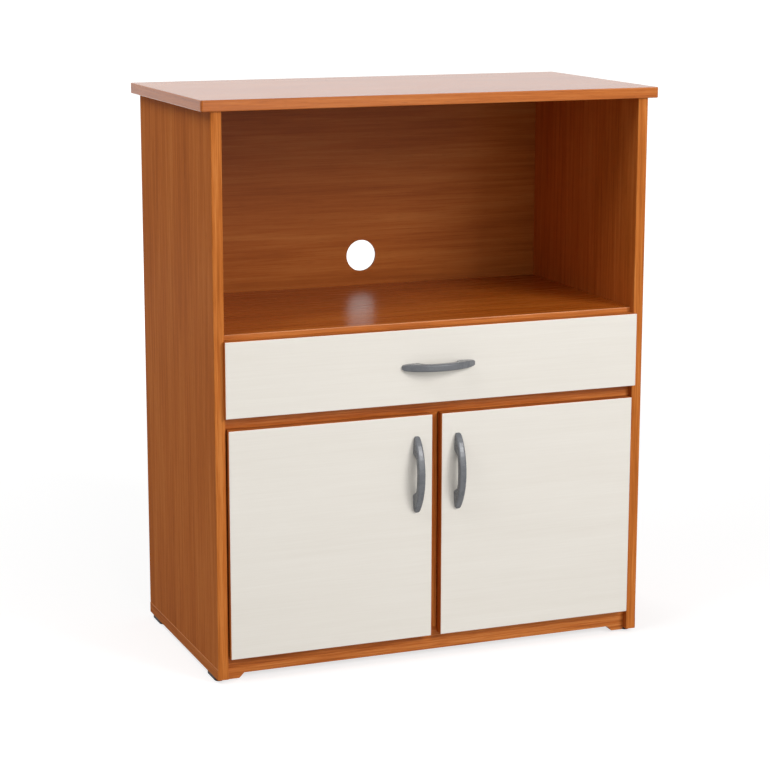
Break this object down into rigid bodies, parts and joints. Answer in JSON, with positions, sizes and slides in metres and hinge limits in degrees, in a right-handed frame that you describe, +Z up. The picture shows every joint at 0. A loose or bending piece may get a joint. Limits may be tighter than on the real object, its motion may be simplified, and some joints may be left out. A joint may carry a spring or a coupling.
{
  "type": "microwave cabinet",
  "caption": "Free-standing microwave cabinet with an open bay over a wide drawer and a pair of hinged cupboard doors, with bow handles.",
  "frame": {"origin": "middle of the footprint on the floor, handles included", "axes": "+Z up, -Y the front with the drawer and doors, +X to the right as seen from the front"},
  "size_m": [0.714, 0.392, 0.85],
  "materials": {
    "cherry_laminate": "semi-gloss cherry wood-grain laminate",
    "cherry_edging": "cherry edging strip",
    "white_laminate": "satin off-white laminate",
    "drawer_box": "matt white foil on board",
    "grey_handle": "satin silver-grey",
    "black_plastic": "matt black",
    "runner_steel": "zinc-plated sheet",
    "zinc": "nickel-plated",
    "screw_steel": "zinc-plated"
  },
  "bodies": {
    "cabinet": {"top_panel": "cherry_laminate", "side_panel_left": "cherry_laminate", "side_panel_right": "cherry_laminate", "bay_shelf": "cherry_laminate", "drawer_deck": "cherry_laminate", "centre_divider": "cherry_laminate", "bottom_panel": "cherry_laminate", "front_plinth": "cherry_laminate", "back_panel": "cherry_laminate", "base_strip_left": "cherry_edging", "base_strip_right": "cherry_edging", "glide_front_left": "black_plastic", "glide_front_right": "black_plastic", "glide_rear_left": "black_plastic", "glide_rear_right": "black_plastic", "hinge_arm_left_lower": "zinc", "hinge_arm_left_upper": "zinc", "hinge_arm_right_lower": "zinc", "hinge_arm_right_upper": "zinc", "runner_fixed_left": "runner_steel", "runner_fixed_right": "runner_steel"},
    "drawer": {"drawer_front": "white_laminate", "drawer_side_left": "drawer_box", "drawer_side_right": "drawer_box", "drawer_floor": "drawer_box", "drawer_back": "drawer_box", "drawer_handle": "grey_handle", "drawer_handle_screw_left": "screw_steel", "drawer_handle_screw_right": "screw_steel", "runner_drawer_left": "runner_steel", "runner_drawer_right": "runner_steel"},
    "door_left": {"door_left": "white_laminate", "door_handle_left": "grey_handle", "door_handle_screw_left_lower": "screw_steel", "door_handle_screw_left_upper": "screw_steel", "hinge_cup_left_lower": "zinc", "hinge_cup_left_upper": "zinc"},
    "door_right": {"door_right": "white_laminate", "door_handle_right": "grey_handle", "door_handle_screw_right_lower": "screw_steel", "door_handle_screw_right_upper": "screw_steel", "hinge_cup_right_lower": "zinc", "hinge_cup_right_upper": "zinc"},
    "hinge_links_outer_left": {"hinge_link_outer_left_lower": "zinc", "hinge_link_outer_left_upper": "zinc"},
    "hinge_links_inner_left": {"hinge_link_inner_left_lower": "zinc", "hinge_link_inner_left_upper": "zinc"},
    "hinge_links_outer_right": {"hinge_link_outer_right_lower": "zinc", "hinge_link_outer_right_upper": "zinc"},
    "hinge_links_inner_right": {"hinge_link_inner_right_lower": "zinc", "hinge_link_inner_right_upper": "zinc"},
    "runner_cages": {"runner_cage_left": "zinc", "runner_cage_right": "zinc"}
  },
  "joints": [
    {"name": "drawer_slide", "type": "slide", "parent": "cabinet", "child": "drawer", "axis": [0, -1, 0], "range_m": [0, 0.225]},
    {"name": "door_left_hinge", "type": "hinge", "parent": "cabinet", "child": "door_left", "pos_m": [-0.319, -0.1653, 0.208], "axis": [0, 0, -1], "range_deg": [0, 95]},
    {"name": "door_right_hinge", "type": "hinge", "parent": "cabinet", "child": "door_right", "pos_m": [0.319, -0.1653, 0.208], "axis": [0, 0, 1], "range_deg": [0, 95]},
    {"name": "outer_links_left_turn", "type": "hinge", "parent": "cabinet", "child": "hinge_links_outer_left", "pos_m": [-0.3195, -0.141, 0.208], "axis": [0, 0, -1], "range_deg": [0, 42.75]},
    {"name": "inner_links_left_turn", "type": "hinge", "parent": "cabinet", "child": "hinge_links_inner_left", "pos_m": [-0.3165, -0.1498, 0.208], "axis": [0, 0, -1], "range_deg": [0, 61.75]},
    {"name": "outer_links_right_turn", "type": "hinge", "parent": "cabinet", "child": "hinge_links_outer_right", "pos_m": [0.3195, -0.141, 0.208], "axis": [0, 0, 1], "range_deg": [0, 42.75]},
    {"name": "inner_links_right_turn", "type": "hinge", "parent": "cabinet", "child": "hinge_links_inner_right", "pos_m": [0.3165, -0.1498, 0.208], "axis": [0, 0, 1], "range_deg": [0, 61.75]},
    {"name": "runner_cage_slide", "type": "slide", "parent": "cabinet", "child": "runner_cages", "axis": [0, -1, 0], "range_m": [0, 0.1125]}
  ],
  "couplings": [
    {"joint": "outer_links_left_turn", "follows": "door_left_hinge", "ratio": 0.45},
    {"joint": "inner_links_left_turn", "follows": "door_left_hinge", "ratio": 0.65},
    {"joint": "outer_links_right_turn", "follows": "door_right_hinge", "ratio": 0.45},
    {"joint": "inner_links_right_turn", "follows": "door_right_hinge", "ratio": 0.65},
    {"joint": "runner_cage_slide", "follows": "drawer_slide", "ratio": 0.5}
  ]
}
